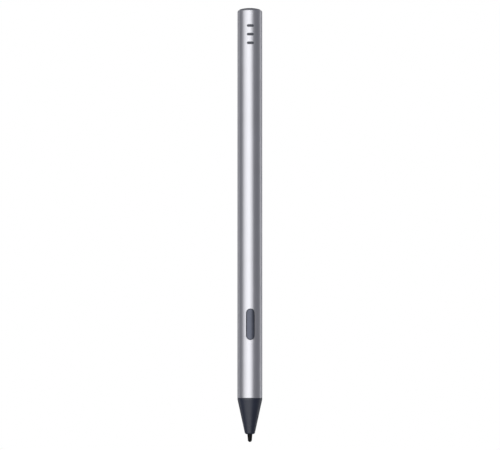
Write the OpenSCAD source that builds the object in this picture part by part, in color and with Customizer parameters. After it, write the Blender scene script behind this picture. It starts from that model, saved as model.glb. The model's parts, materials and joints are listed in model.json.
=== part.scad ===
// Rechargeable active stylus pen: a turned aluminium barrel with one side key, a
// plastic nose with a replaceable nib, and the electronics in two carriers inside.
// Millimetres. The nib's tip is at the origin, +Z runs up the pen to its tail,
// the side key faces -Y, and the flat with the charge socket faces +Y.

/* [Overall] */
// Length from the nib's tip to the top of the tail plug
pen_len = 160; // [145:1:200]
// Outside diameter of the barrel
barrel_d = 9.15; // [9:0.05:12]
// Wall of the barrel
barrel_wall = 0.7; // [0.6:0.02:0.9]
// Depth of the magnetic flat on the barrel's back
flat_depth = 0.3; // [0.2:0.02:0.36]
// Distance from the barrel's front end to where the flat starts
flat_start = 8; // [4:0.5:30]
// Length of the slope that ends the flat
flat_runout = 3; // [1:0.5:6]
// Chamfer on the barrel's front edge
front_chamfer = 0.15; // [0.1:0.05:0.3]
// Rounding of the barrel's tail edge
tail_round = 0.65; // [0.2:0.05:0.68]
// How much narrower the bore is at the tail, past the step that stops the carriers
tail_lip = 0.3; // [0.2:0.05:0.5]

/* [Nose and nib] */
// How far the nib stands out of the nose
nib_out = 2.86; // [2:0.02:4]
// Length of the nose that shows in front of the barrel
nose_len = 13.26; // [11:0.02:16]
// Length of the straight collar where the nose meets the barrel
nose_collar = 0.55; // [0.2:0.05:2]
// Diameter of the nose's front end before its edge is rounded
nose_tip_d = 3.55; // [3.5:0.05:4.5]
// Rounding of the nose's front edge
nose_edge_r = 0.6; // [0.2:0.05:0.6]
// Diameter of the nib where it leaves the nose
nib_d = 1.9; // [1.6:0.05:2]
// Radius of the nib's writing tip
nib_tip_r = 0.66; // [0.5:0.02:0.76]
// Length of the thick front part of the nib
nib_body_len = 8.6; // [8:0.1:11]
// Diameter of the nib's shank
nib_shank_d = 1.2; // [1:0.05:1.3]
// Length of the nib's shank
nib_shank_len = 5.4; // [4:0.1:8]

/* [Pressure sensing] */
// How far the nib moves in when it is pressed
nib_travel = 0.3; // [0.2:0.02:0.5]
// Diameter of the nib holder
holder_d = 2.5; // [2.2:0.1:2.8]
// Diameter of the holder's flange
flange_d = 4.8; // [4.4:0.1:5.2]
// Thickness of the holder's flange
flange_t = 0.9; // [0.6:0.1:1.2]
// Mean diameter of the return spring's coils
spring_d = 3.5; // [3.2:0.1:4.2]
// Diameter of the return spring's wire
spring_wire = 0.25; // [0.2:0.01:0.3]
// Coils of the return spring
spring_coils = 7; // [5:1:9]
// Diameter of the pressure rod
rod_d = 1.6; // [1.2:0.1:1.8]
// Diameter of the sensor cup
cup_d = 6.1; // [5.6:0.1:6.2]
// Height of the sensor cup
cup_h = 3.9; // [3.4:0.1:5]

/* [Side key] */
// Height of the side key's centre above the nib's tip
key_z = 43.1; // [42:0.1:55]
// Length of the slot for the side key
slot_len = 11.4; // [10:0.1:14]
// Width of the slot for the side key
slot_w = 3.1; // [2.8:0.05:4]
// How far the side key stands out of the barrel
key_proud = 0.3; // [0.1:0.05:0.6]
// Radius of the side key's crown, across its width
key_crown_r = 4; // [2.6:0.1:5]
// How far the side key goes in
key_travel = 0.25; // [0.15:0.01:0.3]
// Height of the switch and its plunger above the board
switch_h = 1.45; // [1.35:0.05:1.8]

/* [Electronics] */
// Length of the main board
board_len = 48; // [40:1:60]
// Thickness of the boards
board_t = 0.8; // [0.6:0.1:1]
// Length of each bar magnet
magnet_len = 13; // [8:1:14]
// Thickness of each bar magnet
magnet_t = 1; // [0.6:0.1:1.2]
// Diameter of the screws that hold the boards
screw_d = 1.2; // [1:0.1:1.4]

/* [Charging] */
// Distance from the pen's tail to the middle of the charge socket
port_from_tail = 24; // [20:0.5:30]
// Length of the charge socket's shell
port_len = 8.94; // [8.94:0.02:9.4]
// Width of the charge socket's shell
port_w = 3.26; // [3.2:0.02:3.3]
// Depth of the charge socket from its mouth to its board
port_h = 6.4; // [6.2:0.1:6.6]
// Wall of the charge socket's shell
port_wall = 0.3; // [0.2:0.02:0.35]
// Length of the tail plug's spigot inside the barrel
plug_len = 7.3; // [5:0.1:9]
// How far the tail plug stands out of the barrel
plug_proud = 0.8; // [0.4:0.05:1]

/* [Fits] */
// Gap round a sliding or running fit, on the radius
slide_gap = 0.05; // [0.03:0.01:0.08]
// Gap round a piece that is glued or held in place, on the radius
seat_gap = 0.02; // [0.01:0.01:0.04]
// Gap between the carriers and the barrel's bore, on the radius
core_gap = 0.1; // [0.06:0.01:0.15]
// Gap all round the side key in its slot
key_gap = 0.08; // [0.05:0.01:0.15]

/* [Hidden] */
$fn = 64;

// Places along the pen
nose_z = nib_out;
barrel_z0 = nose_z + nose_len;
barrel_z1 = pen_len - plug_proud;
bush_inset = 2.3;
bush_z0 = nose_z + bush_inset;
bush_len = 2.2;
end_gap = 0.1;
ring_z0 = bush_z0 + bush_len + end_gap;
ring_len = 3.4;
stop_depth = 3.4;
stop_z = barrel_z0 - stop_depth;
nib_end_z = nib_body_len + nib_shank_len;
rod_socket = 1.5;
holder_web = 0.9;
rod_z0 = nib_end_z + slide_gap + holder_web;
holder_z1 = rod_z0 + rod_socket;
spring_room = 5;
holder_room = 3;
seat_z = max(holder_z1 + holder_room, stop_z + flange_t + spring_room);
snout_len = 2.9;
spigot_z1 = seat_z + snout_len;
bulkhead = 2.1;
cup_z0 = spigot_z1 + bulkhead;
cup_top = 1.3;
fixed_plate_t = 0.6;
fixed_plate_z = cup_z0 + cup_h - cup_top - fixed_plate_t;
moving_plate_t = 0.3;
plate_gap = 0.5;
moving_plate_z = fixed_plate_z - nib_travel - end_gap - moving_plate_t;
end_wall = 1;
board_lead = 1.6;
board_z0 = cup_z0 + cup_h + board_lead;
board_z1 = board_z0 + board_len;
front_z1 = board_z1 + end_wall;
rear_z1 = barrel_z1 - plug_len;
port_z = pen_len - port_from_tail;
charge_board_lead = 13.5;
charge_board_z0 = port_z - charge_board_lead;
pad_t = 0.8;
over = 1;
cell_z0 = front_z1 + bulkhead + pad_t;
cell_z1 = charge_board_z0 - end_wall - bulkhead - pad_t;

// Radii
barrel_r = barrel_d / 2;
bore_r = barrel_r - barrel_wall;
core_r = bore_r - core_gap;
flat_y = barrel_r - flat_depth;
nib_r = nib_d / 2;
shank_r = nib_shank_d / 2;
rim_step = 0.02;
mouth_r = nib_r + 2 * slide_gap;
bush_r = 1.5;
ring_r = 2;
ring_wall = 0.3;
well_gap = 0.3;
well_r = flange_d / 2 + well_gap;
snout_r = well_r - 2 * slide_gap;
holder_r = holder_d / 2;
flange_r = flange_d / 2;
rod_r = rod_d / 2;
cup_r = cup_d / 2;
cup_wall = 0.6;
cell_wall = 0.4;
pad_gap = 0.3;
cell_r = core_r - cell_wall;
tail_bore_r = bore_r - tail_lip;
plug_r = tail_bore_r - seat_gap;
plug_wall = 0.8;
screw_r = screw_d / 2;
screw_head_r = 0.9;
screw_head_t = 0.45;
screw_reach = 2;
screw_grip = 1.6;
thread_bite = 0.05;

// Side key and what is under it
key_w = slot_w - 2 * key_gap;
key_len = slot_len - 2 * key_gap;
lip = 0.7;
lip_side = 0.6;
key_lip_t = 1.1;
key_nub = 0.25;
key_nub_r = 0.6;
lip_y = -(bore_r - key_lip_t);
nub_y = lip_y + key_nub;
board_y = nub_y + switch_h;
plunger_reach = 0.35;
switch_body_h = switch_h - plunger_reach;
switch_w = 3;
switch_len = 4;
plunger_r = 0.7;
switch_base = 0.2;
pad_h = 0.7;
pad_x = 3;
pad_len = 2;
pad_inset = 1.15;
pad_offset = slot_len / 2 - pad_inset;
post_len = 2.6;
post_w = 4;
rail_t = 0.15;
rail_h = 0.4;

// Boards and carriers
rail = 0.4;
ledge = 0.5;
board_back_y = board_y + board_t;
board_half = sqrt(core_r * core_r - board_y * board_y) - rail - seat_gap;
magnet_w = 3;
magnet_cover = 0.5;
magnet_web = 0.4;
magnet_y1 = core_r - magnet_cover;
magnet_y0 = magnet_y1 - magnet_t;
pocket_y = magnet_y0 - magnet_web;
pocket_half = board_half - ledge;
pocket_lead = 6;
pocket_tail = 11.5;
pocket_z0 = board_z0 + pocket_lead;
pocket_z1 = board_z1 - pocket_tail;
screw_lead = 3;
screw_tail = 8.5;
front_screw_z = board_z0 + screw_lead;
rear_screw_z = board_z1 - screw_tail;
magnet_inset = 1;
magnet_zs = [pocket_z0 + magnet_inset, pocket_z1 - magnet_inset - magnet_len];
lead_x = 1.4;
lead_r = 0.3;
lead_overlap = 2;
lead_y = board_y - lead_r - slide_gap;
notch_half = 1.8;
cradle_drop = 1;
flex_half = 0.8;
flex_t = 0.12;
flex_y = -cell_r - flex_t;
flex_tab = 6;
flex_lift = 1;
flex_ramp = 1.6;
flex_end = 4;
port_sink = 0.1;
charge_board_y = flat_y - port_sink - port_h;
charge_board_t = board_t - 0.2;
charge_front_y = charge_board_y - charge_board_t;
charge_half = min(2, sqrt(core_r * core_r - charge_front_y * charge_front_y) - seat_gap);
port_half = port_w / 2;
bay_gap = 0.1;
bay_lead = 0.5;
bay_half = port_half + bay_gap;
bay_z0 = charge_board_z0 - bay_lead;
bay_z1 = port_z + port_len / 2 + 1;
pipe_from_port = 7.5;
pipe_z = port_z + pipe_from_port;
pipe_r = 0.45;
pipe_sink = 0.05;
led_half = 0.32;
led_h = 0.3;
led_gap = 0.1;
charge_screw_z = rear_z1 - end_wall - screw_lead;
tongue_w = 6.69;
tongue_t = 0.7;
tongue_sink = 1.5;
tongue_y1 = flat_y - tongue_sink;
tongue_base = 0.8;
contact_pitch = 0.5;
contacts = 12;
contact_t = 0.05;
contact_w = 0.25;
contact_lead = 0.1;
contact_sink = 0.4;
head_r = barrel_r - tail_round - slide_gap;
dome_rise = 0.7 * plug_proud;
dome_r = (head_r * head_r + dome_rise * dome_rise) / (2 * dome_rise);
plug_edge_r = 0.2 * plug_proud;
plug_cup = 3;
seal_drop = 2.5;
seal_wire_r = 0.28;

// ---- Helpers ----

// Where a line from point p touches a circle at c, on the side of larger x
function touch(c, r, p) =
    let (d = norm(p - c), turn = atan2(p[1] - c[1], p[0] - c[0]) - acos(r / d))
    c + r * [cos(turn), sin(turn)];

// Height of the tail plug's dome at a distance x from the axis
function dome_z(x) = pen_len - dome_r + sqrt(dome_r * dome_r - x * x);

// A flat outline in X and Z, made solid from y0 to y1
module along_y(y0, y1) {
    translate([0, y1, 0])
        rotate([90, 0, 0])
            linear_extrude(y1 - y0)
                children();
}

// A flat outline in X and Y, made solid from z0 to z1
module along_z(z0, z1) {
    translate([0, 0, z0])
        linear_extrude(z1 - z0)
            children();
}

// A slot outline with round ends, its length along the second axis
module stadium(len, w) {
    square([w, len - w], center = true);
    for (side = [-1, 1])
        translate([0, side * (len - w) / 2])
            circle(d = w);
}

// A plain block centred on x, from y0 to y1 and z0 to z1
module block(half, y0, y1, z0, z1) {
    translate([-half, y0, z0])
        cube([2 * half, y1 - y0, z1 - z0]);
}

// A ring outline
module ring(outer, inner) {
    difference() {
        circle(outer);
        circle(inner);
    }
}

// ---- Casing ----

module barrel() {
    color("silver")
        difference() {
            rotate_extrude() {
                polygon([
                    [bore_r, barrel_z0],
                    [barrel_r - front_chamfer, barrel_z0],
                    [barrel_r, barrel_z0 + front_chamfer],
                    [barrel_r, barrel_z1 - tail_round],
                    [barrel_r - tail_round, barrel_z1],
                    [tail_bore_r, barrel_z1],
                    [tail_bore_r, rear_z1],
                    [bore_r, rear_z1]
                ]);
                translate([barrel_r - tail_round, barrel_z1 - tail_round])
                    intersection() {
                        circle(tail_round);
                        square(tail_round);
                    }
            }
            back_flat();
            along_y(-barrel_d, 0)
                translate([0, key_z])
                    stadium(slot_len, slot_w);
            along_y(0, barrel_d)
                translate([0, port_z])
                    stadium(port_len + 2 * key_gap, port_w + 2 * key_gap);
            along_y(0, barrel_d)
                translate([0, pipe_z])
                    circle(pipe_r + slide_gap);
        }
}

// The cutter for the magnetic flat, with a slope at its front end
module back_flat() {
    z0 = barrel_z0 + flat_start;
    translate([-barrel_r, 0, 0])
        rotate([90, 0, 90])
            linear_extrude(barrel_d)
                polygon([
                    [flat_y, z0 + flat_runout],
                    [barrel_r + end_gap, z0 - flat_runout * end_gap / flat_depth],
                    [barrel_r + end_gap, pen_len + over],
                    [flat_y, pen_len + over]
                ]);
}

module nose_cone() {
    edge = [nose_tip_d / 2 - nose_edge_r, nose_z + nose_edge_r];
    rim = [barrel_r - rim_step, barrel_z0 - nose_collar];
    color([0.2, 0.22, 0.26])
        rotate_extrude()
            difference() {
                union() {
                    polygon([
                        [0, nose_z],
                        [edge[0], nose_z],
                        touch(edge, nose_edge_r, rim),
                        rim,
                        [rim[0], barrel_z0],
                        [bore_r - seat_gap, barrel_z0],
                        [bore_r - seat_gap, spigot_z1],
                        [0, spigot_z1]
                    ]);
                    translate(edge)
                        circle(nose_edge_r);
                }
                translate([0, nose_z - over])
                    square([mouth_r, barrel_z0]);
                translate([0, bush_z0])
                    square([bush_r, bush_len]);
                translate([0, bush_z0 + bush_len])
                    square([ring_r, stop_z - bush_z0 - bush_len]);
                translate([0, stop_z])
                    square([well_r, spigot_z1]);
            }
}

module tail_plug() {
    edge_x = head_r - plug_edge_r;
    edge_z = pen_len - dome_r + sqrt(pow(dome_r - plug_edge_r, 2) - edge_x * edge_x);
    meet_x = edge_x * dome_r / (dome_r - plug_edge_r);
    groove = 2 * seal_wire_r;
    color([0.42, 0.42, 0.44])
        rotate_extrude()
            difference() {
                union() {
                    translate([0, rear_z1])
                        square([plug_r, barrel_z1 - rear_z1]);
                    polygon([
                        [0, barrel_z1],
                        [head_r, barrel_z1],
                        [head_r, edge_z],
                        [meet_x, dome_z(meet_x)],
                        [0, dome_z(meet_x)]
                    ]);
                    translate([edge_x, edge_z])
                        intersection() {
                            circle(plug_edge_r);
                            square(plug_edge_r);
                        }
                    intersection() {
                        translate([0, pen_len - dome_r])
                            circle(dome_r, $fn = 256);
                        translate([0, barrel_z1])
                            square([meet_x, dome_r]);
                    }
                }
                translate([plug_r - groove, barrel_z1 - seal_drop - seal_wire_r])
                    square([2 * groove, groove]);
                translate([0, rear_z1 - over])
                    square([plug_r - plug_wall, plug_cup + over]);
            }
}

module tail_seal() {
    color([0.1, 0.1, 0.1])
        translate([0, 0, barrel_z1 - seal_drop])
            rotate_extrude()
                translate([plug_r - seal_wire_r, 0])
                    circle(seal_wire_r - 0.01);
}

// ---- Nib and pressure sensing ----

module nib() {
    break = 0.2;
    tip = [0, nib_tip_r];
    mouth = [nib_r, nib_out];
    color([0.12, 0.12, 0.13])
        rotate_extrude()
            intersection() {
                union() {
                    translate(tip)
                        circle(nib_tip_r);
                    polygon([
                        tip,
                        touch(tip, nib_tip_r, mouth),
                        mouth,
                        [nib_r, nib_body_len],
                        [shank_r, nib_body_len],
                        [shank_r, nib_end_z - break],
                        [shank_r - break, nib_end_z],
                        [0, nib_end_z]
                    ]);
                }
                square([nib_d, nib_end_z]);
            }
}

module nib_holder() {
    slit = 0.25;
    slit_len = 2.4;
    color("goldenrod")
        difference() {
            union() {
                along_z(nib_body_len, holder_z1)
                    circle(holder_r);
                along_z(stop_z, stop_z + flange_t)
                    circle(flange_r);
            }
            along_z(nib_body_len - over, nib_end_z + slide_gap)
                circle(shank_r + seat_gap);
            along_z(rod_z0, holder_z1 + over)
                circle(rod_r + seat_gap);
            for (turn = [0, 90])
                rotate(turn)
                    block(slit / 2, -holder_d, holder_d, nib_body_len - over, nib_body_len + slit_len);
        }
}

module pressure_rod() {
    color("ivory")
        along_z(rod_z0, moving_plate_z)
            circle(rod_r);
}

module moving_plate() {
    color("gold")
        along_z(moving_plate_z, moving_plate_z + moving_plate_t)
            circle(cup_r - cup_wall - plate_gap);
}

// Height along the spring, from 0 to 1, with a closed coil at each end
function spring_rise(turn) =
    let (end = spring_wire / (seat_z - stop_z - flange_t - spring_wire))
    turn < 1 ? turn * end
        : turn > spring_coils - 1 ? 1 - (spring_coils - turn) * end
        : end + (turn - 1) / (spring_coils - 2) * (1 - 2 * end);

module return_spring() {
    steps = 14;
    sides = 6;
    wire_r = spring_wire / 2 - 0.01;
    z0 = stop_z + flange_t + spring_wire / 2;
    rise = seat_z - stop_z - flange_t - spring_wire;
    rings = steps * spring_coils;
    points = [
        for (i = [0:rings], k = [0:sides - 1])
            let (turn = i / steps, r = spring_d / 2 + wire_r * cos(k * 360 / sides))
            [
                r * cos(turn * 360),
                r * sin(turn * 360),
                z0 + rise * spring_rise(turn) + wire_r * sin(k * 360 / sides)
            ]
    ];
    walls = [
        for (i = [0:rings - 1], k = [0:sides - 1])
            let (a = i * sides + k, b = i * sides + (k + 1) % sides)
            [a, a + sides, b + sides, b]
    ];
    first = [for (k = [0:sides - 1]) k];
    last = [for (k = [sides - 1:-1:0]) rings * sides + k];
    color("lightsteelblue")
        polyhedron(points, concat(walls, [first, last]));
}

module guide_bush() {
    color("white")
        along_z(bush_z0, bush_z0 + bush_len)
            ring(bush_r - seat_gap, nib_r + slide_gap);
}

module tilt_ring() {
    color("orange")
        along_z(ring_z0, ring_z0 + ring_len)
            ring(ring_r - seat_gap, ring_r - ring_wall);
}

module sensor_cup() {
    color([0.25, 0.25, 0.3])
        difference() {
            along_z(cup_z0, cup_z0 + cup_h)
                circle(cup_r);
            along_z(cup_z0 - over, cup_z0 + cup_h - cup_top)
                circle(cup_r - cup_wall);
        }
}

module fixed_plate() {
    color("gold")
        along_z(fixed_plate_z, fixed_plate_z + fixed_plate_t)
            circle(cup_r - cup_wall - seat_gap);
}

// ---- Front carrier and main board ----

module front_carrier() {
    rod_room = 0.15;
    color([0.16, 0.16, 0.17])
        difference() {
            union() {
                along_z(seat_z, spigot_z1)
                    circle(snout_r);
                along_z(spigot_z1, front_z1)
                    circle(core_r);
            }
            along_z(seat_z - over, cup_z0 + over)
                circle(rod_r + rod_room);
            along_z(cup_z0, cup_z0 + cup_h + end_gap)
                circle(cup_r + slide_gap);
            block(core_r + over, -core_r - over, board_y, cup_z0, front_z1 + over);
            block(board_half + seat_gap, board_y - over, board_back_y, board_z0 - end_gap,
                board_z1 + slide_gap);
            block(pocket_half, board_y, pocket_y, pocket_z0, pocket_z1);
            for (z = magnet_zs)
                block(magnet_w / 2 + seat_gap, magnet_y0, magnet_y1 + seat_gap, z - seat_gap,
                    z + magnet_len + seat_gap);
            for (z = [front_screw_z, rear_screw_z])
                along_y(board_y, board_back_y + screw_reach)
                    translate([0, z])
                        circle(screw_r - thread_bite);
        }
}

module main_board() {
    color("darkgreen")
        difference() {
            block(board_half, board_y, board_back_y, board_z0, board_z1);
            for (z = [front_screw_z, rear_screw_z])
                along_y(board_y - over, board_back_y + over)
                    translate([0, z])
                        circle(screw_r + slide_gap);
        }
}

// A chip or part that stands on the main board's front face
module chip(x, z, w, len, h) {
    translate([x - w / 2, board_y - h, z - len / 2])
        cube([w, h, len]);
}

module board_chips() {
    first_z = key_z + slot_len / 2 + 4.4;
    row_pitch = 1.1;
    color([0.08, 0.08, 0.08]) {
        chip(0, first_z, 4, 4, 0.7);
        chip(-1.2, first_z + 4.6, 2.4, 2.4, 0.6);
        chip(1.5, first_z + 4.6, 1.6, 2, 0.5);
        chip(0, board_z0 + 0.8, 2, 1.4, 0.5);
        for (row = [0:2], side = [-1, 1])
            chip(side * 1.9, first_z + 7.4 + row * row_pitch, 1, 0.5, 0.4);
        for (side = [-1, 1])
            chip(side * 2.3, front_screw_z, 0.5, 1, 0.4);
    }
}

module shield_can() {
    sheet = 0.15;
    half = pocket_half - 2 * sheet;
    height = 1.3;
    can_len = 15;
    can_lead = 2;
    z0 = pocket_z0 + can_lead;
    z1 = z0 + can_len;
    color("lightgray")
        difference() {
            block(half, board_back_y, board_back_y + height, z0, z1);
            block(half - sheet, board_back_y - over, board_back_y + height - sheet, z0 + sheet,
                z1 - sheet);
        }
}

// A screw whose head stands on a face at y and whose shank runs towards +Y
module screw(y, z, len) {
    cross_len = 1;
    cross_w = 0.2;
    cross_depth = 0.25;
    translate([0, y, z])
        rotate([-90, 0, 0])
            difference() {
                union() {
                    translate([0, 0, -screw_head_t])
                        cylinder(r = screw_head_r, h = screw_head_t);
                    cylinder(r = screw_r, h = len);
                }
                for (turn = [0, 90])
                    rotate(turn)
                        translate([-cross_len / 2, -cross_w / 2, -screw_head_t - over])
                            cube([cross_len, cross_w, cross_depth + over]);
            }
}

module carrier_screws() {
    shank = board_t + screw_grip;
    color("dimgray") {
        screw(board_y, front_screw_z, shank);
        screw(board_y, rear_screw_z, shank);
        screw(charge_front_y, charge_screw_z, shank);
    }
}

module bar_magnets() {
    color("slategray")
        for (z = magnet_zs)
            block(magnet_w / 2, magnet_y0 + seat_gap, magnet_y1, z, z + magnet_len);
}

// ---- Side key ----

module side_key() {
    crown_y = -(barrel_r + key_proud - key_crown_r);
    color([0.3, 0.32, 0.37]) {
        intersection() {
            along_y(-barrel_d, lip_y)
                translate([0, key_z])
                    stadium(key_len, key_w);
            translate([0, crown_y, 0])
                along_z(key_z - slot_len, key_z + slot_len)
                    circle(key_crown_r, $fn = 128);
        }
        intersection() {
            along_y(-barrel_d, lip_y)
                translate([0, key_z])
                    stadium(slot_len + 2 * lip, slot_w + 2 * lip_side);
            along_z(key_z - slot_len, key_z + slot_len)
                circle(bore_r - key_gap, $fn = 128);
        }
        along_y(lip_y, nub_y)
            translate([0, key_z])
                circle(key_nub_r);
    }
}

module key_pads() {
    color([0.85, 0.85, 0.8])
        for (side = [-1, 1])
            block(pad_x / 2, lip_y, lip_y + pad_h, key_z + side * pad_offset - pad_len / 2,
                key_z + side * pad_offset + pad_len / 2);
}

module key_bracket() {
    color([0.35, 0.35, 0.38]) {
        for (side = [-1, 1])
            block(post_w / 2, lip_y + pad_h, board_y, key_z + side * pad_offset - post_len / 2,
                key_z + side * pad_offset + post_len / 2);
        for (side = [-1, 1])
            translate([side * (post_w / 2 - rail_t), 0, 0])
                block(rail_t, board_y - rail_h, board_y, key_z - pad_offset, key_z + pad_offset);
    }
}

module switch_body() {
    color([0.75, 0.75, 0.72])
        difference() {
            block(switch_w / 2, board_y - switch_body_h, board_y, key_z - switch_len / 2,
                key_z + switch_len / 2);
            along_y(board_y - switch_h, board_y - switch_base)
                translate([0, key_z])
                    circle(plunger_r + slide_gap);
        }
}

module switch_plunger() {
    color([0.1, 0.1, 0.1])
        along_y(nub_y, board_y - switch_base - key_travel - slide_gap)
            translate([0, key_z])
                circle(plunger_r);
}

// ---- Battery and rear carrier ----

// A disc inside the carriers, with a notch for the leads and the flex
module notched_disc(r, z0, z1) {
    difference() {
        along_z(z0, z1)
            circle(r);
        block(notch_half, -core_r - over, lead_y + lead_r + slide_gap, z0 - over, z1 + over);
    }
}

module rear_carrier() {
    color([0.16, 0.16, 0.17])
        difference() {
            union() {
                notched_disc(core_r, front_z1, front_z1 + bulkhead);
                difference() {
                    along_z(front_z1 + bulkhead, rear_z1)
                        circle(core_r);
                    along_z(front_z1, cell_z1 + pad_t)
                        circle(cell_r + slide_gap);
                    block(core_r + over, -core_r - over, -cradle_drop, front_z1, cell_z1 + pad_t);
                }
            }
            block(flex_half + 0.2, -core_r - over, charge_front_y, cell_z1 + pad_t - over, bay_z0 + over);
            block(charge_half + seat_gap, -core_r - over, charge_board_y, bay_z0, rear_z1 - end_wall + end_gap);
            block(bay_half, charge_board_y - over, core_r + over, bay_z0, bay_z1);
            along_y(charge_board_y - over, core_r + over)
                translate([0, pipe_z])
                    circle(pipe_r + slide_gap);
            along_y(charge_board_y - over, charge_board_y + screw_reach)
                translate([0, charge_screw_z])
                    circle(screw_r - thread_bite);
        }
}

module battery_cell() {
    crimp = 0.5;
    color("steelblue")
        rotate_extrude()
            polygon([
                [0, cell_z0],
                [cell_r - crimp, cell_z0],
                [cell_r, cell_z0 + crimp],
                [cell_r, cell_z1 - crimp],
                [cell_r - crimp, cell_z1],
                [0, cell_z1]
            ]);
}

module battery_pads() {
    color([0.3, 0.3, 0.3]) {
        notched_disc(cell_r - pad_gap, cell_z0 - pad_t, cell_z0);
        along_z(cell_z1, cell_z1 + pad_t)
            circle(cell_r - pad_gap);
    }
}

module battery_leads() {
    color("firebrick")
        for (side = [-1, 1])
            translate([side * lead_x, lead_y, 0])
                along_z(board_z1 - lead_overlap, cell_z0)
                    circle(lead_r, $fn = 32);
}

// A flat cable that joins the two boards along the front of the battery
module link_flex() {
    low = board_y - flex_t;
    high = charge_front_y - flex_t;
    color("darkorange")
        translate([-flex_half, 0, 0])
            rotate([90, 0, 90])
                linear_extrude(2 * flex_half)
                    polygon([
                        [board_y, board_z1 - flex_tab],
                        [low, board_z1 - flex_tab],
                        [low, board_z1 - flex_lift],
                        [flex_y - flex_t, cell_z0 - flex_ramp],
                        [flex_y - flex_t, cell_z1 + pad_t],
                        [high, charge_board_z0 + bay_lead],
                        [high, charge_board_z0 + flex_end],
                        [charge_front_y, charge_board_z0 + flex_end],
                        [charge_front_y, charge_board_z0 + bay_lead],
                        [flex_y, cell_z1 + pad_t],
                        [flex_y, cell_z0 - flex_ramp],
                        [board_y, board_z1 - flex_lift]
                    ]);
}

// ---- Charging ----

module charge_board() {
    color("darkgreen")
        difference() {
            block(charge_half, charge_front_y, charge_board_y, charge_board_z0, rear_z1 - end_wall);
            along_y(charge_front_y - over, charge_board_y + over)
                translate([0, charge_screw_z])
                    circle(screw_r + slide_gap);
        }
}

module charge_chips() {
    row_z = charge_board_z0 + 4;
    row_pitch = 1.2;
    row_len = 0.6;
    color([0.08, 0.08, 0.08]) {
        block(1, charge_board_y, charge_board_y + 0.6, charge_board_z0 + 1, charge_board_z0 + 3);
        for (k = [0:2])
            block(0.8, charge_board_y, charge_board_y + 0.4, row_z + k * row_pitch,
                row_z + k * row_pitch + row_len);
        block(led_half, charge_board_y, charge_board_y + led_h, pipe_z - led_half, pipe_z + led_half);
    }
}

module socket_shell() {
    color("gainsboro")
        difference() {
            along_y(charge_board_y, flat_y - port_sink)
                translate([0, port_z])
                    stadium(port_len, port_w);
            along_y(charge_board_y + port_wall, flat_y)
                translate([0, port_z])
                    stadium(port_len - 2 * port_wall, port_w - 2 * port_wall);
        }
}

module socket_tongue() {
    y0 = charge_board_y + port_wall;
    color([0.1, 0.1, 0.1]) {
        along_y(y0, y0 + tongue_base)
            translate([0, port_z])
                stadium(port_len - 2 * port_wall - 2 * seat_gap, port_w - 2 * port_wall - 2 * seat_gap);
        block(tongue_t / 2, y0, tongue_y1, port_z - tongue_w / 2, port_z + tongue_w / 2);
    }
}

module socket_contacts() {
    y0 = charge_board_y + port_wall + tongue_base + contact_lead;
    color("gold")
        for (side = [-1, 1], k = [0:contacts - 1])
            translate([side * (tongue_t + contact_t) / 2, 0, port_z + (k - (contacts - 1) / 2) * contact_pitch])
                block(contact_t / 2, y0, tongue_y1 - contact_sink, -contact_w / 2, contact_w / 2);
}

module light_pipe() {
    color([0.9, 0.95, 1])
        along_y(charge_board_y + led_h + led_gap, flat_y - pipe_sink)
            translate([0, pipe_z])
                circle(pipe_r);
}

barrel();
nose_cone();
tail_plug();
tail_seal();
nib();
nib_holder();
pressure_rod();
moving_plate();
return_spring();
guide_bush();
tilt_ring();
sensor_cup();
fixed_plate();
front_carrier();
main_board();
board_chips();
shield_can();
carrier_screws();
bar_magnets();
side_key();
key_pads();
key_bracket();
switch_body();
switch_plunger();
rear_carrier();
battery_cell();
battery_pads();
battery_leads();
link_flex();
charge_board();
charge_chips();
socket_shell();
socket_tongue();
socket_contacts();
light_pipe();
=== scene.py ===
# %% [markdown]
# # A slim stylus pen in satin silver and slate plastic
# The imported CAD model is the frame. It gives every place and every size, so this
# script only adds what a CAD solid lacks: broken edges, round corners and finishes.

# %% Load the frame
import json
import math

import bmesh
import bpy
from mathutils import Matrix, Vector


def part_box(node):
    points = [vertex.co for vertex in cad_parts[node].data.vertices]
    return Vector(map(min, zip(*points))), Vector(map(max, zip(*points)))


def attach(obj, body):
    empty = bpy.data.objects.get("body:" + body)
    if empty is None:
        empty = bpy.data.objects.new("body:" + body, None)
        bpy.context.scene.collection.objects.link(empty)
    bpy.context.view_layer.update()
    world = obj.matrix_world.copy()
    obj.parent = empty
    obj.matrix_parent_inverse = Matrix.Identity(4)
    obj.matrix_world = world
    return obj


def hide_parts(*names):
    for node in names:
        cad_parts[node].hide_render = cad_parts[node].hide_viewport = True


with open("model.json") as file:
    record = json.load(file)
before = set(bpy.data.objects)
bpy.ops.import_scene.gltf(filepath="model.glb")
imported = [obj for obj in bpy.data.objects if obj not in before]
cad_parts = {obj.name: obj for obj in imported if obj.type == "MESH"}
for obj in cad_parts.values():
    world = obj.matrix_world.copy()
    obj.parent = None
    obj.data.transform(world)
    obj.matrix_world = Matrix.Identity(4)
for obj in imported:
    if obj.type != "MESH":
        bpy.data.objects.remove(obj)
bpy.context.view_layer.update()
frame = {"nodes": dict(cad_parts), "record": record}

MM = 0.001
print("CAD nodes:", len(frame["nodes"]))

# %% [markdown]
# ## Sizes
# Pieces are drawn in millimetres, because a pen's edges are tenths of a millimetre,
# and are turned to metres when they are finished. The places are read from the CAD
# nodes, so a piece can't drift away from the solid that it stands for. The milled flat
# is part of a node, so its height comes from its own mount in the record.

# %% Read the places of the CAD nodes
def box_mm(node):
    low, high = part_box(node)
    return low / MM, high / MM


barrel_low, barrel_high = box_mm("barrel")
nose_low, nose_high = box_mm("nose_cone")
key_low, key_high = box_mm("side_key")
plug_low, plug_high = box_mm("tail_plug")
shell_low, shell_high = box_mm("socket_shell")
tongue_low, tongue_high = box_mm("socket_tongue")
lamp_low, lamp_high = box_mm("light_pipe")
nib_high = box_mm("nib")[1]
flat_mount = next(m for m in frame["record"]["mounts"] if m["name"] == "magnet_flat")

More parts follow.
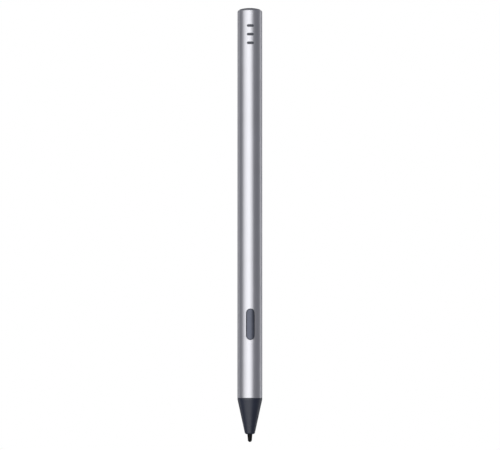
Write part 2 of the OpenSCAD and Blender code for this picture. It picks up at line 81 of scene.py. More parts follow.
FRONT_Z = barrel_low.z
TAIL_Z = barrel_high.z
BARREL_R = barrel_high.x
FLAT_Y = flat_mount["pos_m"][1] / MM
KEY_Z = (key_low.z + key_high.z) / 2
PORT_Z = (shell_low.z + shell_high.z) / 2
LAMP_Z = (lamp_low.z + lamp_high.z) / 2
TOP_Z = plug_high.z
print("barrel radius", round(BARREL_R, 3), "front", round(FRONT_Z, 3), "tail", round(TAIL_Z, 3))
print("flat", round(FLAT_Y, 3), "key", round(KEY_Z, 3), "socket", round(PORT_Z, 3))

# %% [markdown]
# ## Colours
# A hex colour is written for the eye, in sRGB. The shader wants light, so one function
# turns each channel to linear.

# %% Turn a hex colour to linear
def linear(hex_colour):
    channels = [int(hex_colour[i:i + 2], 16) / 255 for i in (1, 3, 5)]
    light = [c / 12.92 if c <= 0.04045 else ((c + 0.055) / 1.055) ** 2.4 for c in channels]
    return (*light, 1.0)


# %% [markdown]
# ## Finishes
# Every finish is a Principled shader whose colour, roughness and bump come from
# patterns in the object's own coordinates, in metres. One small function adds a node,
# sets its values and makes its links, which keeps each finish short enough to read.

# %% Add one node with its settings and links
def add(tree, kind, settings=None, links=None):
    node = tree.nodes.new(kind)
    for name, value in (settings or {}).items():
        if name in node.inputs and not hasattr(node, str(name)):
            node.inputs[name].default_value = value
        else:
            setattr(node, name, value)
    for name, source in (links or {}).items():
        tree.links.new(source, node.inputs[name])
    return node


# %% [markdown]
# ### The general finish
# A moulded, cast or rolled surface is never even. Here one fine grain lifts the
# surface and one wide cloud shifts the colour and the gloss a little. Both are given
# as a real size in millimetres, and the depth of the grain as well. The glow is only
# for the floor of the set.

# %% Make a finish with a grain and a cloud
def finish(name, dark, light, rough=(0.4, 0.5), metallic=0.0, ior=1.5, grain=0.2, depth=0.004,
           cloud=3.0, stretch=(1, 1, 1), spec=0.5, coat=0.0, coat_rough=0.1, clear=0.0, glow=0.0):
    material = bpy.data.materials.new(name)
    material.use_nodes = True
    tree = material.node_tree
    tree.nodes.clear()
    place = add(tree, "ShaderNodeTexCoord")
    turn = add(tree, "ShaderNodeMapping", {"Scale": stretch}, {"Vector": place.outputs["Object"]})
    wide = add(tree, "ShaderNodeTexNoise", {"Scale": 1 / (cloud * MM), "Detail": 3.0, "Roughness": 0.55},
               {"Vector": place.outputs["Object"]})
    fine = add(tree, "ShaderNodeTexNoise", {"Scale": 1 / (grain * MM), "Detail": 2.0, "Roughness": 0.6},
               {"Vector": turn.outputs["Vector"]})
    both = add(tree, "ShaderNodeMix", {"data_type": "FLOAT", "Factor": 0.4},
               {"A": wide.outputs["Fac"], "B": fine.outputs["Fac"]})
    tint = add(tree, "ShaderNodeValToRGB", {}, {"Fac": both.outputs["Result"]})
    tint.color_ramp.elements[0].position = 0.35
    tint.color_ramp.elements[0].color = linear(dark)
    tint.color_ramp.elements[1].position = 0.65
    tint.color_ramp.elements[1].color = linear(light)
    gloss = add(tree, "ShaderNodeMapRange",
                {"From Min": 0.3, "From Max": 0.7, "To Min": rough[0], "To Max": rough[1]},
                {"Value": both.outputs["Result"]})
    bump = add(tree, "ShaderNodeBump", {"Strength": 1.0, "Distance": depth * MM},
               {"Height": fine.outputs["Fac"]})
    shader = add(tree, "ShaderNodeBsdfPrincipled",
                 {"Metallic": metallic, "IOR": ior, "Specular IOR Level": spec, "Coat Weight": coat,
                  "Coat Roughness": coat_rough, "Transmission Weight": clear,
                  "Emission Color": (1, 1, 1, 1), "Emission Strength": glow},
                 {"Base Color": tint.outputs["Color"], "Roughness": gloss.outputs["Result"],
                  "Normal": bump.outputs["Normal"]})
    add(tree, "ShaderNodeOutputMaterial", {}, {"Surface": shader.outputs["BSDF"]})
    return material


# %% [markdown]
# ### Anodised aluminium
# The barrel is drawn aluminium tube, blasted with fine glass beads and anodised with a
# faint cool tint. The beads leave shallow dents of about 0.1 mm, so a lamp spreads into
# a soft band instead of a sharp line. The dents are drawn 0.16 mm wide, because finer
# ones would vanish in the picture. It is a metal, so its IOR stays as it is.

# %% Make the barrel's metal
barrel_metal = finish("bead_blasted_anodised_aluminium", "#b5b5b8", "#bababe", rough=(0.345, 0.375),
                      metallic=1.0, grain=0.16, depth=0.0035, cloud=9.0)

# %% [markdown]
# ### Moulded plastics
# The nose, the key, the tail plug and the nib are moulded. ABS from a spark-eroded
# mould has a fine matt grain, and acetal for the nib is a little waxy and wears smooth.
# The key has a paint with metal flakes, so it is mostly metallic and glossier than the
# nose. The carriers inside are nylon, with glass fibres that lie along the pen.

# %% Make the plastics
nose_plastic = finish("moulded_abs_slate", "#131a2a", "#181f30", rough=(0.34, 0.42), grain=0.18,
                      depth=0.004, cloud=4.0, ior=1.55)
key_plastic = finish("painted_abs_key", "#4b4e57", "#535660", rough=(0.26, 0.32), grain=0.15,
                     depth=0.002, cloud=2.0, metallic=0.85, ior=1.5)
tail_plastic = finish("moulded_abs_tail", "#4c4d54", "#56575e", rough=(0.4, 0.5), grain=0.18,
                      depth=0.005, cloud=3.0, ior=1.53)
nib_plastic = finish("acetal_nib", "#060607", "#0b0b0c", rough=(0.4, 0.55), grain=0.12,
                     depth=0.003, cloud=0.9, ior=1.48, spec=0.12)
carrier_plastic = finish("glass_filled_nylon", "#1d1f22", "#2a2c30", rough=(0.5, 0.65), grain=0.25,
                         depth=0.01, cloud=2.5, stretch=(1, 1, 0.3), ior=1.53)
white_plastic = finish("white_acetal", "#d8d6cf", "#e8e6e0", rough=(0.35, 0.45), grain=0.2,
                       depth=0.003, cloud=2.0, ior=1.48)

# %% [markdown]
# ### Soft parts
# The seal is nitrile rubber, dull and slightly chalky. The key's pads are silicone,
# which lets some light in, and the battery pads are open foam with visible cells.

# %% Make the rubber, silicone and foam
rubber = finish("nitrile_rubber", "#141414", "#222222", rough=(0.6, 0.8), grain=0.1, depth=0.006,
                cloud=0.8)
silicone = finish("silicone_rubber", "#c9c8bd", "#dddccf", rough=(0.45, 0.6), grain=0.15, depth=0.004,
                  cloud=0.8, ior=1.41)
foam = finish("open_cell_foam", "#26262a", "#3c3c42", rough=(0.85, 0.95), grain=0.2, depth=0.06,
              cloud=1.5)

# %% [markdown]
# ### Inner metals
# Spring wire is drawn, so its marks run along it. The shield can and the socket's shell
# are bright plated sheet, the magnets are nickel plated, and the contacts are gold on
# nickel. Each metal keeps the default IOR.

# %% Make the inner metals
spring_steel = finish("drawn_spring_steel", "#8b8c90", "#a5a6aa", rough=(0.22, 0.34), metallic=1.0,
                      grain=0.08, depth=0.002, cloud=0.6)
can_steel = finish("tinned_steel_sheet", "#b9bab8", "#cfd0ce", rough=(0.25, 0.4), metallic=1.0,
                   grain=0.15, depth=0.003, cloud=2.0, stretch=(1, 1, 0.15))
screw_steel = finish("zinc_plated_steel", "#a2a7ad", "#bcc1c6", rough=(0.25, 0.38), metallic=1.0,
                     grain=0.08, depth=0.003, cloud=0.5)
magnet = finish("nickel_plated_magnet", "#a9a69c", "#bdbab0", rough=(0.2, 0.3), metallic=1.0,
                grain=0.1, depth=0.002, cloud=1.5)
brass = finish("turned_brass", "#b08d48", "#c9a65c", rough=(0.25, 0.35), metallic=1.0,
               grain=0.08, depth=0.003, cloud=0.8, stretch=(1, 1, 4))
gold_plate = finish("gold_plate", "#d6a94f", "#e6bd68", rough=(0.2, 0.3), metallic=1.0,
                    grain=0.06, depth=0.001, cloud=0.5)
port_steel = finish("drawn_stainless_shell", "#a4a6aa", "#b8babe", rough=(0.2, 0.32), metallic=1.0,
                    grain=0.1, depth=0.002, cloud=1.0, stretch=(1, 0.2, 1))

# %% [markdown]
# ### Boards, chips, cell and wires
# Chips are black epoxy with a sanded look, and the cell has a smooth shrunk sleeve. The
# wires have a soft red cover and the flex is amber polyimide film. The socket's black
# moulding, the frosted rod of the charge lamp and the printed ink of the mark complete
# the set.

# %% Make the electronic finishes
chip_black = finish("chip_epoxy", "#141517", "#202124", rough=(0.5, 0.65), grain=0.08, depth=0.003,
                    cloud=0.8)
cell_wrap = finish("heat_shrunk_sleeve", "#3a6f9c", "#437aa8", rough=(0.25, 0.35), grain=0.3, depth=0.004,
                   cloud=6.0, coat=0.3)
wire_red = finish("wire_insulation", "#a1201c", "#b92c26", rough=(0.35, 0.45), grain=0.1, depth=0.002,
                  cloud=0.8)
flex = finish("polyimide_film", "#a8631c", "#bf7527", rough=(0.25, 0.35), grain=0.2, depth=0.001, cloud=1.5,
              coat=0.4)
port_plastic = finish("socket_moulding", "#141416", "#1e1e21", rough=(0.4, 0.5), grain=0.08, depth=0.002,
                      cloud=0.8)
clear_plastic = finish("frosted_polycarbonate", "#dfe6ea", "#eef3f6", rough=(0.25, 0.35), grain=0.1,
                       depth=0.002, cloud=0.5, ior=1.58, clear=0.4)
mark_ink = finish("pad_printed_ink", "#3c3e45", "#45474f", rough=(0.45, 0.55), grain=0.1, depth=0.002,
                  cloud=0.8)

# %% [markdown]
# ### The board's lacquer
# A board is green lacquer over copper, and the copper tracks show through it as
# slightly lighter lines. A brick pattern with long bricks gives straight runs 0.36 mm
# apart, and its mortar is the gap between two tracks. A Mix node's colour sockets share
# their names with its other sockets, so they are reached by number.

# %% Make the board's finish
board = finish("solder_lacquer", "#0d4a2c", "#126038", rough=(0.25, 0.38), grain=0.2, depth=0.002,
               cloud=1.2, coat=0.3)
tree = board.node_tree
shader = next(n for n in tree.nodes if n.type == "BSDF_PRINCIPLED")
under = shader.inputs["Base Color"].links[0].from_socket
place = next(n for n in tree.nodes if n.type == "TEX_COORD")
lay = add(tree, "ShaderNodeMapping", {"Rotation": (0.0, math.radians(90), math.radians(90))},
          {"Vector": place.outputs["Object"]})
tracks = add(tree, "ShaderNodeTexBrick",
             {"offset": 0.37, "Scale": 1.0, "Brick Width": 4.2 * MM, "Row Height": 0.36 * MM,
              "Mortar Size": 0.07 * MM, "Mortar Smooth": 0.1},
             {"Vector": lay.outputs["Vector"]})
MIX_TRACK, MIX_GAP, MIX_RESULT = 6, 7, 2
copper = add(tree, "ShaderNodeMix", {"data_type": "RGBA", "blend_type": "MIX"},
             {"Factor": tracks.outputs["Fac"], MIX_GAP: under})
copper.inputs[MIX_TRACK].default_value = linear("#1d7a49")
tree.links.new(copper.outputs[MIX_RESULT], shader.inputs["Base Color"])
print("materials:", len(bpy.data.materials))

# %% [markdown]
# ## Dressing the CAD nodes
# The inner pieces keep their CAD shape. The record names a material slot for each
# node, so one table of slots dresses them all, and no node is forgotten.

# %% Give every CAD node its finish
SLOTS = {
    "barrel_metal": barrel_metal, "nose_plastic": nose_plastic, "tail_plastic": tail_plastic,
    "nib_plastic": nib_plastic, "key_plastic": key_plastic, "carrier_plastic": carrier_plastic,
    "white_plastic": white_plastic, "rubber": rubber, "silicone": silicone, "foam": foam,
    "spring_steel": spring_steel, "can_steel": can_steel, "screw_steel": screw_steel,
    "magnet": magnet, "brass": brass, "gold_plate": gold_plate, "board": board,
    "chip_black": chip_black, "cell_wrap": cell_wrap, "wire_red": wire_red, "flex": flex,
    "port_steel": port_steel, "port_plastic": port_plastic, "clear": clear_plastic,
}
for part in frame["record"]["subparts"]:
    node = frame["nodes"][part["node"]]
    node.data.materials.clear()
    node.data.materials.append(SLOTS[part["material_slot"]])

# %% [markdown]
# ## Turned pieces
# The barrel, the nose, the nib and the tail plug are all round about the pen's axis.
# A lathe makes such a piece from one profile, and a spin does the same here: a few
# corners are drawn on one side and carried round in a full turn. A rim is then found
# by its radius and height, and a bevel rounds it, as a tool breaks an edge on a lathe.

# %% Spin a profile round the pen's axis
TURN_WELD = 1e-4


def turned(profile, steps=192):
    bm = bmesh.new()
    corners = [bm.verts.new((r, 0.0, z)) for r, z in profile]
    sides = [bm.edges.new(pair) for pair in zip(corners, corners[1:] + corners[:1])]
    bmesh.ops.spin(bm, geom=corners + sides, cent=(0, 0, 0), axis=(0, 0, 1), angle=math.tau,
                   steps=steps, use_merge=True)
    bmesh.ops.remove_doubles(bm, verts=bm.verts, dist=TURN_WELD)
    bmesh.ops.recalc_face_normals(bm, faces=bm.faces)
    return bm


# %% Find a rim and round it
NEAR = 2e-3


def rims(bm, r, z):
    near = {v for v in bm.verts if abs(math.hypot(v.co.x, v.co.y) - r) < NEAR and abs(v.co.z - z) < NEAR}
    return [e for e in bm.edges if e.verts[0] in near and e.verts[1] in near]


def round_edges(bm, edges, size, segments):
    bmesh.ops.bevel(bm, geom=edges, offset=size, offset_type="OFFSET", segments=segments, profile=0.5,
                    affect="EDGES", material=-1, clamp_overlap=False)


# %% [markdown]
# ## Finishing a piece
# Every piece ends the same way: doubles merged, faces turned outwards, millimetres
# turned to metres, smooth shading with real corners kept sharp, and its finish and
# its body given. Weighted normals let the widest face at a corner set the
# shading there, so a milled flat stays flat right up to its rounded edge.

# %% Turn a bmesh into a finished piece
LAST_WELD = 1e-5
SHARP_CORNER = math.radians(20)


def finished(name, bm, material, body, stands_for=()):
    bmesh.ops.remove_doubles(bm, verts=bm.verts, dist=LAST_WELD)
    bmesh.ops.recalc_face_normals(bm, faces=bm.faces)
    bmesh.ops.scale(bm, vec=(MM, MM, MM), verts=bm.verts)
    mesh = bpy.data.meshes.new(name)
    bm.to_mesh(mesh)
    bm.free()
    mesh.polygons.foreach_set("use_smooth", [True] * len(mesh.polygons))
    mesh.set_sharp_from_angle(angle=SHARP_CORNER)
    mesh.materials.append(material)
    piece = bpy.data.objects.new(name, mesh)
    bpy.context.scene.collection.objects.link(piece)
    even = piece.modifiers.new("even", "WEIGHTED_NORMAL")
    even.keep_sharp = True
    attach(piece, body)
    for node in stands_for:
        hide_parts(node)
    print(name, "faces", len(mesh.polygons))


# %% [markdown]
# ## Cutting an opening
# A milled slot is a solid taken away from another. The cutter is a bmesh too, and a
# Boolean modifier with the exact solver takes it away, after which the result goes
# back into a bmesh, so its new edges can be broken.

# %% Cut or keep what two solids share
def combined(bm, cutter, how):
    holders = []
    for shape in (bm, cutter):
        mesh = bpy.data.meshes.new("work")
        shape.to_mesh(mesh)
        shape.free()
        holder = bpy.data.objects.new("work", mesh)
        bpy.context.scene.collection.objects.link(holder)
        holders.append(holder)
    cut = holders[0].modifiers.new("cut", "BOOLEAN")
    cut.operation = how
    cut.solver = "EXACT"
    cut.object = holders[1]
    graph = bpy.context.evaluated_depsgraph_get()
    result = bmesh.new()
    result.from_mesh(holders[0].evaluated_get(graph).to_mesh())
    for holder in holders:
        mesh = holder.data
        bpy.data.objects.remove(holder)
        bpy.data.meshes.remove(mesh)
    return result


# %% [markdown]
# ## A slot with round ends
# A slot cutter is a circle pulled apart in the middle and drawn through the wall. It
# starts as a circle in X and Z, because the openings face along Y. A slot as long as it
# is wide is a round hole or a round pin.

# %% Draw a slot through Y
ON_AXIS = 1e-6


def slot_bar(length, width, z, y0, y1, points=64):
    bm = bmesh.new()
    bmesh.ops.create_circle(bm, cap_ends=True, radius=width / 2, segments=points)
    for v in bm.verts:
        v.co = Vector((v.co.x, 0.0, v.co.y))
        if abs(v.co.z) > ON_AXIS:
            v.co.z += math.copysign((length - width) / 2, v.co.z)
    drawn = bmesh.ops.extrude_face_region(bm, geom=list(bm.faces))
    far = [g for g in drawn["geom"] if isinstance(g, bmesh.types.BMVert)]
    bmesh.ops.translate(bm, vec=(0, y1 - y0, 0), verts=far)
    bmesh.ops.translate(bm, vec=(0, y0, z), verts=bm.verts)
    bmesh.ops.recalc_face_normals(bm, faces=bm.faces)
    return bm


# %% [markdown]
# ## The barrel
# The real barrel is one drawn tube with its ends turned, then milled for the key, the
# magnetic flat, the charge socket and the lamp. The same order is kept: spin the tube,
# round its tail and break its front edge, mill the flat, then cut the three openings
# and break every new edge, because an unbroken edge would look like paper.

# %% Turn the tube
WALL = 0.7
TAIL_STEP = 0.3
BORE_R = BARREL_R - WALL
TAIL_BORE_R = BORE_R - TAIL_STEP
STEP_Z = plug_low.z
TAIL_ROUND = 0.65
FRONT_BREAK = 0.15
tube = turned([(BORE_R, FRONT_Z), (BARREL_R, FRONT_Z), (BARREL_R, TAIL_Z), (TAIL_BORE_R, TAIL_Z),
               (TAIL_BORE_R, STEP_Z), (BORE_R, STEP_Z)])
round_edges(tube, rims(tube, BARREL_R, TAIL_Z), TAIL_ROUND, 8)
round_edges(tube, rims(tube, BARREL_R, FRONT_Z), FRONT_BREAK, 2)
print("tube faces", len(tube.faces))

# %% [markdown]
# ### The flat
# The flat lets the pen stick to a tablet's edge. Its cutter is a block whose front end
# leans, so the mill runs out in a slope and leaves no step. The slope starts at the
# skin and reaches the flat's full depth after a few millimetres.

# %% Mill the flat
FLAT_START = FRONT_Z + 8
FLAT_SLOPE = 3
BLOCK_DEPTH = 2
BLOCK_END = TAIL_Z + 4
block_y = FLAT_Y + BLOCK_DEPTH / 2
block_z = (BLOCK_END + FLAT_START) / 2
block = bmesh.new()
bmesh.ops.create_cube(block, size=1)
bmesh.ops.scale(block, vec=(2 * BARREL_R, BLOCK_DEPTH, BLOCK_END - FLAT_START), verts=block.verts)
bmesh.ops.translate(block, vec=(0, block_y, block_z), verts=block.verts)
for v in block.verts:
    if v.co.z < TAIL_Z:
        outwards = (v.co.y - FLAT_Y) / (BARREL_R - FLAT_Y)
        v.co.z = FLAT_START + FLAT_SLOPE * (1 - outwards)
tube = combined(tube, block, "DIFFERENCE")

# %% [markdown]
# ### The openings
# The key's slot is on the front and the socket and its lamp are on the flat. Each
# opening is a little larger than the piece in it, as on the real pen. The key's box is
# that of its lip, which is longer and wider than the slot.

# %% Size the key slot, the socket and the lamp hole
GAP = 0.08
LIP_LEN, LIP_W = 1.4, 1.2
SLOT_LEN = key_high.z - key_low.z - LIP_LEN
SLOT_W = key_high.x - key_low.x - LIP_W
PORT_LEN = shell_high.z - shell_low.z + 2 * GAP
PORT_W = shell_high.x - shell_low.x + 2 * GAP
LAMP_D = 1.0
FRONT, BACK = -1, 1

# Each opening's height, length, width, side, points and broken edge
OPENINGS = ((KEY_Z, SLOT_LEN, SLOT_W, FRONT, 64, 0.09),
            (PORT_Z, PORT_LEN, PORT_W, BACK, 64, 0.09),
            (LAMP_Z, LAMP_D, LAMP_D, BACK, 32, 0.04))
print("key slot", round(SLOT_LEN, 2), round(SLOT_W, 2), "socket", round(PORT_LEN, 2), round(PORT_W, 2))

# %% Cut the openings
for z, length, width, side, points, rim_break in OPENINGS:
    y0, y1 = sorted((0, side * 2 * BARREL_R))
    tube = combined(tube, slot_bar(length, width, z, y0, y1, points), "DIFFERENCE")
bmesh.ops.remove_doubles(tube, verts=tube.verts, dist=NEAR)
print("cut tube faces", len(tube.faces))


# %% [markdown]
# ### Breaking the cut edges
# A cutter leaves a sharp rim, which a deburring tool takes off by about a tenth of a
# millimetre. The rim is found by its place on the skin and by the angle between its
# two faces, and one bevel rounds it.

# %% Find the rim of an opening
SKIN_NEAR = 6e-3
RIM_MARGIN = 0.02
RIM_CORNER = math.radians(30)


def on_skin(v):
    return abs(math.hypot(v.co.x, v.co.y) - BARREL_R) < SKIN_NEAR or abs(v.co.y - FLAT_Y) < NEAR


def rim_of(bm, z, length, width, side):
    def beside(v):
        high = abs(v.co.z - z) < length / 2 + RIM_MARGIN
        wide = abs(v.co.x) < width / 2 + RIM_MARGIN
        return on_skin(v) and v.co.y * side > 0 and high and wide

    return [e for e in bm.edges if len(e.link_faces) == 2 and all(beside(v) for v in e.verts)
            and e.calc_face_angle(0.0) > RIM_CORNER]


# %% Round the rims of the openings
for z, length, width, side, points, rim_break in OPENINGS:
    rim = rim_of(tube, z, length, width, side)
    print("rim at", round(z, 1), "edges", len(rim))
    round_edges(tube, rim, rim_break, 4)
finished("barrel_shell", tube, barrel_metal, "pen", ["barrel"])

# %% [markdown]
# ## The nose
# The nose is a straight taper moulded in one piece. A short collar meets the barrel,
# and the front end is rolled over towards the nib's mouth. The corner where the taper
# starts is softened, because a mould's parting edge is never knife sharp.

# %% Turn the nose
COLLAR = 0.55
FIT = 0.02
COLLAR_R = BARREL_R - FIT
SPIGOT_R = BORE_R - FIT
NOSE_TIP_R = 3.55 / 2
NOSE_ROUND, COLLAR_ROUND, MOUTH_ROUND = 0.6, 0.15, 0.06
NIB_GAP = 0.1
MOUTH_R = nib_high.x + NIB_GAP
MOUTH_LEN = 2.3
TUNNEL_R = MOUTH_R + 0.6
CUP_R = 2.9
NOSE_Z = nose_low.z
COLLAR_Z = FRONT_Z - COLLAR
MOUTH_Z = NOSE_Z + MOUTH_LEN
CUP_Z = FRONT_Z - 3.4
outside = [(MOUTH_R, NOSE_Z), (NOSE_TIP_R, NOSE_Z), (COLLAR_R, COLLAR_Z), (COLLAR_R, FRONT_Z),
           (SPIGOT_R, FRONT_Z), (SPIGOT_R, nose_high.z)]
inside = [(CUP_R, nose_high.z), (CUP_R, CUP_Z), (TUNNEL_R, CUP_Z), (TUNNEL_R, MOUTH_Z),
          (MOUTH_R, MOUTH_Z)]
nose = turned(outside + inside, 160)
round_edges(nose, rims(nose, NOSE_TIP_R, NOSE_Z), NOSE_ROUND, 8)
round_edges(nose, rims(nose, COLLAR_R, COLLAR_Z), COLLAR_ROUND, 4)
round_edges(nose, rims(nose, MOUTH_R, NOSE_Z), MOUTH_ROUND, 3)
finished("nose_shell", nose, nose_plastic, "pen", ["nose_cone"])

# %% [markdown]
# ## The nib
# The nib is a hard acetal pin. It tapers slightly to a ball tip that has worn smooth.
# A pin with one rounded end is a turned profile with a large bevel at its tip.

# %% Turn the nib
NIB_R = nib_high.x
NIB_END_R = 0.68
NIB_ROUND = 0.64
NIB_BODY_Z = 8.6
BODY_BREAK = 0.1
SHANK_R = 0.6
SHANK_BREAK = 0.2
nib = turned([(0, 0), (NIB_END_R, 0), (NIB_R, NOSE_Z), (NIB_R, NIB_BODY_Z), (SHANK_R, NIB_BODY_Z),
              (SHANK_R, nib_high.z), (0, nib_high.z)], 64)
round_edges(nib, rims(nib, NIB_END_R, 0), NIB_ROUND, 10)
round_edges(nib, rims(nib, SHANK_R, nib_high.z), SHANK_BREAK, 2)
round_edges(nib, rims(nib, NIB_R, NIB_BODY_Z), BODY_BREAK, 2)
finished("nib_pin", nib, nib_plastic, "nib", ["nib"])

# %% [markdown]
# ## The tail plug
# The plug is pressed into the barrel's end, and its wider head covers the end face up
# to the rounding. The low dome leaves a thin dark lens above the silver. The dome is
# part of a large ball, as the mould for it would be.

# %% Turn the tail plug
HEAD_R = plug_high.x
PLUG_R = TAIL_BORE_R - FIT
HOLLOW_R = PLUG_R - 0.8
HOLLOW_Z = plug_low.z + 3
DOME_RISE = 0.56
DOME_R = (HEAD_R ** 2 + DOME_RISE ** 2) / (2 * DOME_RISE)
DOME_STEPS = 8
PLUG_ROUND = 0.16
skirt = [(0, HOLLOW_Z), (HOLLOW_R, HOLLOW_Z), (HOLLOW_R, plug_low.z), (PLUG_R, plug_low.z)]
dome = []
for k in range(DOME_STEPS, -1, -1):
    r = HEAD_R * k / DOME_STEPS
    dome.append((r, TOP_Z - DOME_R + math.sqrt(DOME_R ** 2 - r ** 2)))
head = [(PLUG_R, TAIL_Z), (HEAD_R, TAIL_Z)]
plug = turned(skirt + head + dome, 128)
round_edges(plug, rims(plug, *dome[0]), PLUG_ROUND, 6)
finished("tail_dome", plug, tail_plastic, "pen", ["tail_plug"])

# %% [markdown]
# ## The side key
# The key is one bar with round ends and a crown across its width that a finger can
# find. The crown is the part that a slot-shaped bar and a round rod share, and the rim
# is then rounded. Under the skin it widens into a lip that keeps it in the barrel.

# %% Draw a round rod beside the key
def key_rod(radius, y):
    bm = bmesh.new()
    bmesh.ops.create_cone(bm, cap_ends=True, segments=192, radius1=radius, radius2=radius,
                          depth=2 * SLOT_LEN)
    bmesh.ops.translate(bm, vec=(0, y, KEY_Z), verts=bm.verts)
    return bm


# %% Shape the key's crown
CROWN_R = 4.0
CROWN_Y = key_low.y + CROWN_R
LIP_Y = -(BORE_R - 1.1)
key = slot_bar(SLOT_LEN - 2 * GAP, SLOT_W - 2 * GAP, KEY_Z, -2 * BARREL_R, LIP_Y)
key = combined(key, key_rod(CROWN_R, CROWN_Y), "INTERSECT")
bmesh.ops.remove_doubles(key, verts=key.verts, dist=NEAR)
print("crown faces", len(key.faces))

# %% Round the crown's rim
CROWN_CORNER = math.radians(25)
ABOVE_LIP = 0.5
KEY_ROUND = 0.16


def on_crown(v):
    return abs(math.hypot(v.co.x, v.co.y - CROWN_Y) - CROWN_R) < SKIN_NEAR and v.co.y < LIP_Y - ABOVE_LIP


crown_rim = [e for e in key.edges if len(e.link_faces) == 2 and all(on_crown(v) for v in e.verts)
             and e.calc_face_angle(0.0) > CROWN_CORNER]
print("crown rim edges", len(crown_rim))
round_edges(key, crown_rim, KEY_ROUND, 5)
finished("key_cap", key, key_plastic, "side_key")

# %% [markdown]
# ### The key's lip
# The lip is a wider slot shape that follows the bore, so it is the part that a slot
# bar and a rod of nearly the bore's size share. A small nub in its middle meets the
# switch.

# %% Shape the key's lip and nub
NUB_D = 1.2
NUB_SINK = 0.2
lip = slot_bar(SLOT_LEN + LIP_LEN, SLOT_W + LIP_W, KEY_Z, -2 * BARREL_R, LIP_Y)
lip = combined(lip, key_rod(BORE_R - GAP, 0), "INTERSECT")
nub = slot_bar(NUB_D, NUB_D, KEY_Z, LIP_Y - NUB_SINK, key_high.y, 32)
lip = combined(lip, nub, "UNION")
finished("key_lip", lip, key_plastic, "side_key", ["side_key"])

# %% [markdown]
# ## The charge socket
# A drawn steel shell with a rolled lip holds a thin tongue with the contacts on both
# sides. The lip is rounded inside and out, which is what catches the light in a
# socket, and the tongue's front corners are rounded so that a plug finds its way.

# %% Shape the socket's shell
SHELL_WALL = 0.3
SHELL_LIP = 0.1
THROUGH = 1
END_NEAR = 1e-3


def on_end(edge, y):
    return all(abs(v.co.y - y) < END_NEAR for v in edge.verts)


shell_len, shell_w = shell_high.z - shell_low.z, shell_high.x - shell_low.x
shell = slot_bar(shell_len, shell_w, PORT_Z, shell_low.y, shell_high.y)
hollow = slot_bar(shell_len - 2 * SHELL_WALL, shell_w - 2 * SHELL_WALL, PORT_Z,
                  shell_low.y + SHELL_WALL, shell_high.y + THROUGH)
shell = combined(shell, hollow, "DIFFERENCE")
mouth = [e for e in shell.edges if on_end(e, shell_high.y) and e.calc_face_angle(0.0) > RIM_CORNER]
round_edges(shell, mouth, SHELL_LIP, 4)
finished("socket_sleeve", shell, port_steel, "pen", ["socket_shell"])

# %% Shape the tongue on its base
TONGUE_LEN, TONGUE_T = 6.69, 0.7
TONGUE_SINK = 0.1
TONGUE_BASE = 0.8
TONGUE_ROUND = 0.15
tongue_y = tongue_low.y + TONGUE_SINK
tongue = bmesh.new()
bmesh.ops.create_cube(tongue, size=1)
bmesh.ops.scale(tongue, vec=(TONGUE_T, tongue_high.y - tongue_y, TONGUE_LEN), verts=tongue.verts)
bmesh.ops.translate(tongue, vec=(0, (tongue_high.y + tongue_y) / 2, PORT_Z), verts=tongue.verts)
corners = [e for e in tongue.edges if on_end(e, tongue_high.y)]
round_edges(tongue, corners, TONGUE_ROUND, 3)
base = slot_bar(tongue_high.z - tongue_low.z, tongue_high.x - tongue_low.x, PORT_Z, tongue_low.y,
                tongue_low.y + TONGUE_BASE)
tongue = combined(tongue, base, "UNION")
finished("socket_blade", tongue, port_plastic, "pen", ["socket_tongue"])

# %% [markdown]
# ## The charge lamp
# A frosted rod carries the lamp's light to the flat. The edge of its end is rounded, so
# it glints like a drop.

# %% Shape the light pipe
PIPE_D = lamp_high.x - lamp_low.x
PIPE_ROUND = 0.12
pipe = slot_bar(PIPE_D, PIPE_D, LAMP_Z, lamp_low.y, lamp_high.y, 48)
round_edges(pipe, [e for e in pipe.edges if on_end(e, lamp_high.y)], PIPE_ROUND, 5)
finished("lamp_pipe", pipe, clear_plastic, "pen", ["light_pipe"])

# %% [markdown]
# ## The mark
# A pen of this kind carries a small printed mark near its tail. Here it is three plain
# bars with no letters. Printed ink has a thickness, so each bar is a thin slot shape
# that follows the barrel and stands 0.01 mm proud.

# %% Print three plain bars
INK, INK_SINK = 0.01, 0.02
BAR_LEN, BAR_W = 2.6, 1.0
BAR_Z, BAR_PITCH = 146.6, 3.2
across = Matrix.Rotation(math.pi / 2, 3, "Y")
inner, outer = BARREL_R - INK_SINK, BARREL_R + INK
bars = bmesh.new()
for z in (BAR_Z, BAR_Z + BAR_PITCH, BAR_Z + 2 * BAR_PITCH):
    bar = slot_bar(BAR_LEN, BAR_W, 0, -2 * BARREL_R, -BARREL_R / 2, 32)
    bmesh.ops.rotate(bar, cent=(0, 0, 0), matrix=across, verts=bar.verts)
    bmesh.ops.translate(bar, vec=(0, 0, z), verts=bar.verts)
    low, high = z - BAR_W, z + BAR_W
    skin = turned([(inner, low), (outer, low), (outer, high), (inner, high)])
    bar = combined(skin, bar, "INTERSECT")
    mesh = bpy.data.meshes.new("work")
    bar.to_mesh(mesh)
    bars.from_mesh(mesh)
    bar.free()
    bpy.data.meshes.remove(mesh)
finished("printed_bars", bars, mark_ink, "pen")

# %% [markdown]
# ## The floor
# The pen is held upright in the air, well above a plain pale floor, so that nothing
# of the floor crosses it and it throws no hard shadow. The floor glows until it is
# nearly white, so it stays pale in every view, and it is kept out of the pen's own
# light and reflections. The set is measured in metres.

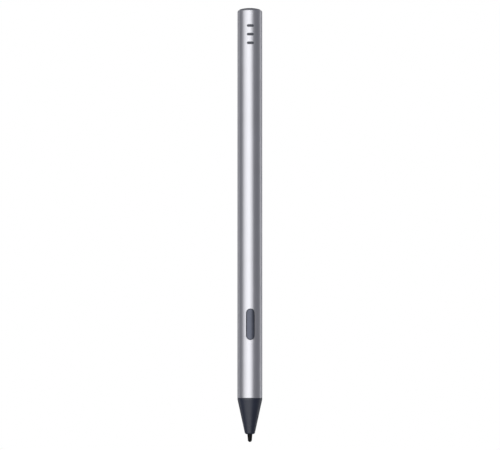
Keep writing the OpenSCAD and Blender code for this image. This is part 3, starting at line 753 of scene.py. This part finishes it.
# %% Lay the floor
FLOOR_Z = -0.6
FLOOR_HALF = 8
floor_bm = bmesh.new()
bmesh.ops.create_grid(floor_bm, x_segments=1, y_segments=1, size=FLOOR_HALF)
bmesh.ops.translate(floor_bm, vec=(0, 0, FLOOR_Z), verts=floor_bm.verts)
floor_mesh = bpy.data.meshes.new("floor")
floor_bm.to_mesh(floor_mesh)
floor_bm.free()
floor = bpy.data.objects.new("floor", floor_mesh)
bpy.context.scene.collection.objects.link(floor)
floor_mesh.materials.append(finish("pale_studio_floor", "#f0f0f0", "#f4f4f4", rough=(0.8, 0.9), grain=4.0,
                                   depth=0.01, cloud=60.0, glow=0.72))
floor.visible_diffuse = False
floor.visible_glossy = False
print("floor", 2 * FLOOR_HALF, "m wide at", FLOOR_Z)

# %% [markdown]
# ## The light
# A round metal shows the room bent round it, so the room makes the picture. A curved
# wall of six tall soft panels stands in front and to the left, brightest in its middle,
# and draws one long band that fades to both sides. The rest of the room stays dim,
# which draws the two darker bands, and weak panels further round light the edges.

# %% Place something round the pen and aim it
MIDDLE = Vector((0, 0, 0.08))


def stand(item, azimuth, distance, z, target):
    bpy.context.scene.collection.objects.link(item)
    a = math.radians(azimuth)
    item.location = (math.sin(a) * distance, -math.cos(a) * distance, z)
    item.rotation_euler = (target - item.location).to_track_quat("-Z", "Y").to_euler()


# %% Hang the panels
PANEL_DISTANCE, PANEL_W, PANEL_H = 1.4, 0.38, 1.8

# Each panel's azimuth in degrees and its power in watts, first the wall, then the edges
WALL_PANELS = ((-60, 2.0), (-45, 3.0), (-30, 3.6), (-15, 4.2), (0, 4.0), (15, 2.6))
EDGE_PANELS = ((-128, 1.4), (118, 2.2), (165, 1.2))
for azimuth, power in WALL_PANELS + EDGE_PANELS:
    data = bpy.data.lights.new("panel", "AREA")
    data.shape = "RECTANGLE"
    data.size = PANEL_W
    data.size_y = PANEL_H
    data.energy = power
    stand(bpy.data.objects.new("panel", data), azimuth, PANEL_DISTANCE, MIDDLE.z, MIDDLE)
print("panels:", len(WALL_PANELS + EDGE_PANELS))

# %% [markdown]
# ### The room
# The camera sees a white room, while the pen is lit by a dimmer, cooler one, as it
# would be with dark cards at its sides. The Mix Shader's two shader inputs share a
# name, so they are reached by number.

# %% Paint the room
world = bpy.data.worlds.new("room")
bpy.context.scene.world = world
world.use_nodes = True
room = world.node_tree
room.nodes.clear()
seen = add(room, "ShaderNodeLightPath")
dim = add(room, "ShaderNodeBackground", {"Color": linear("#e6e8f2"), "Strength": 0.36})
white = add(room, "ShaderNodeBackground", {"Color": (1, 1, 1, 1), "Strength": 1.0})
mixed = add(room, "ShaderNodeMixShader", {},
            {0: seen.outputs["Is Camera Ray"], 1: dim.outputs["Background"], 2: white.outputs["Background"]})
add(room, "ShaderNodeOutputWorld", {}, {"Surface": mixed.outputs["Shader"]})
bpy.context.scene.view_settings.view_transform = "Standard"

# %% [markdown]
# ## The camera
# The camera is far off with a long lens, so the barrel's sides stay nearly parallel.
# It stands a little to the left and a little low, just below the key.

# %% Place the camera
CAMERA_AZIMUTH, CAMERA_DISTANCE, CAMERA_Z = -2.5, 0.85, 0.036
LENS, SENSOR = 166.3, 36
LOOK_AT = Vector((0.00005, 0, 0.07968))
camera_data = bpy.data.cameras.new("camera")
camera_data.sensor_width = SENSOR
camera_data.lens = LENS
camera = bpy.data.objects.new("camera", camera_data)
stand(camera, CAMERA_AZIMUTH, CAMERA_DISTANCE, CAMERA_Z, LOOK_AT)
bpy.context.scene.camera = camera
print("camera at", [round(x, 3) for x in camera.location])
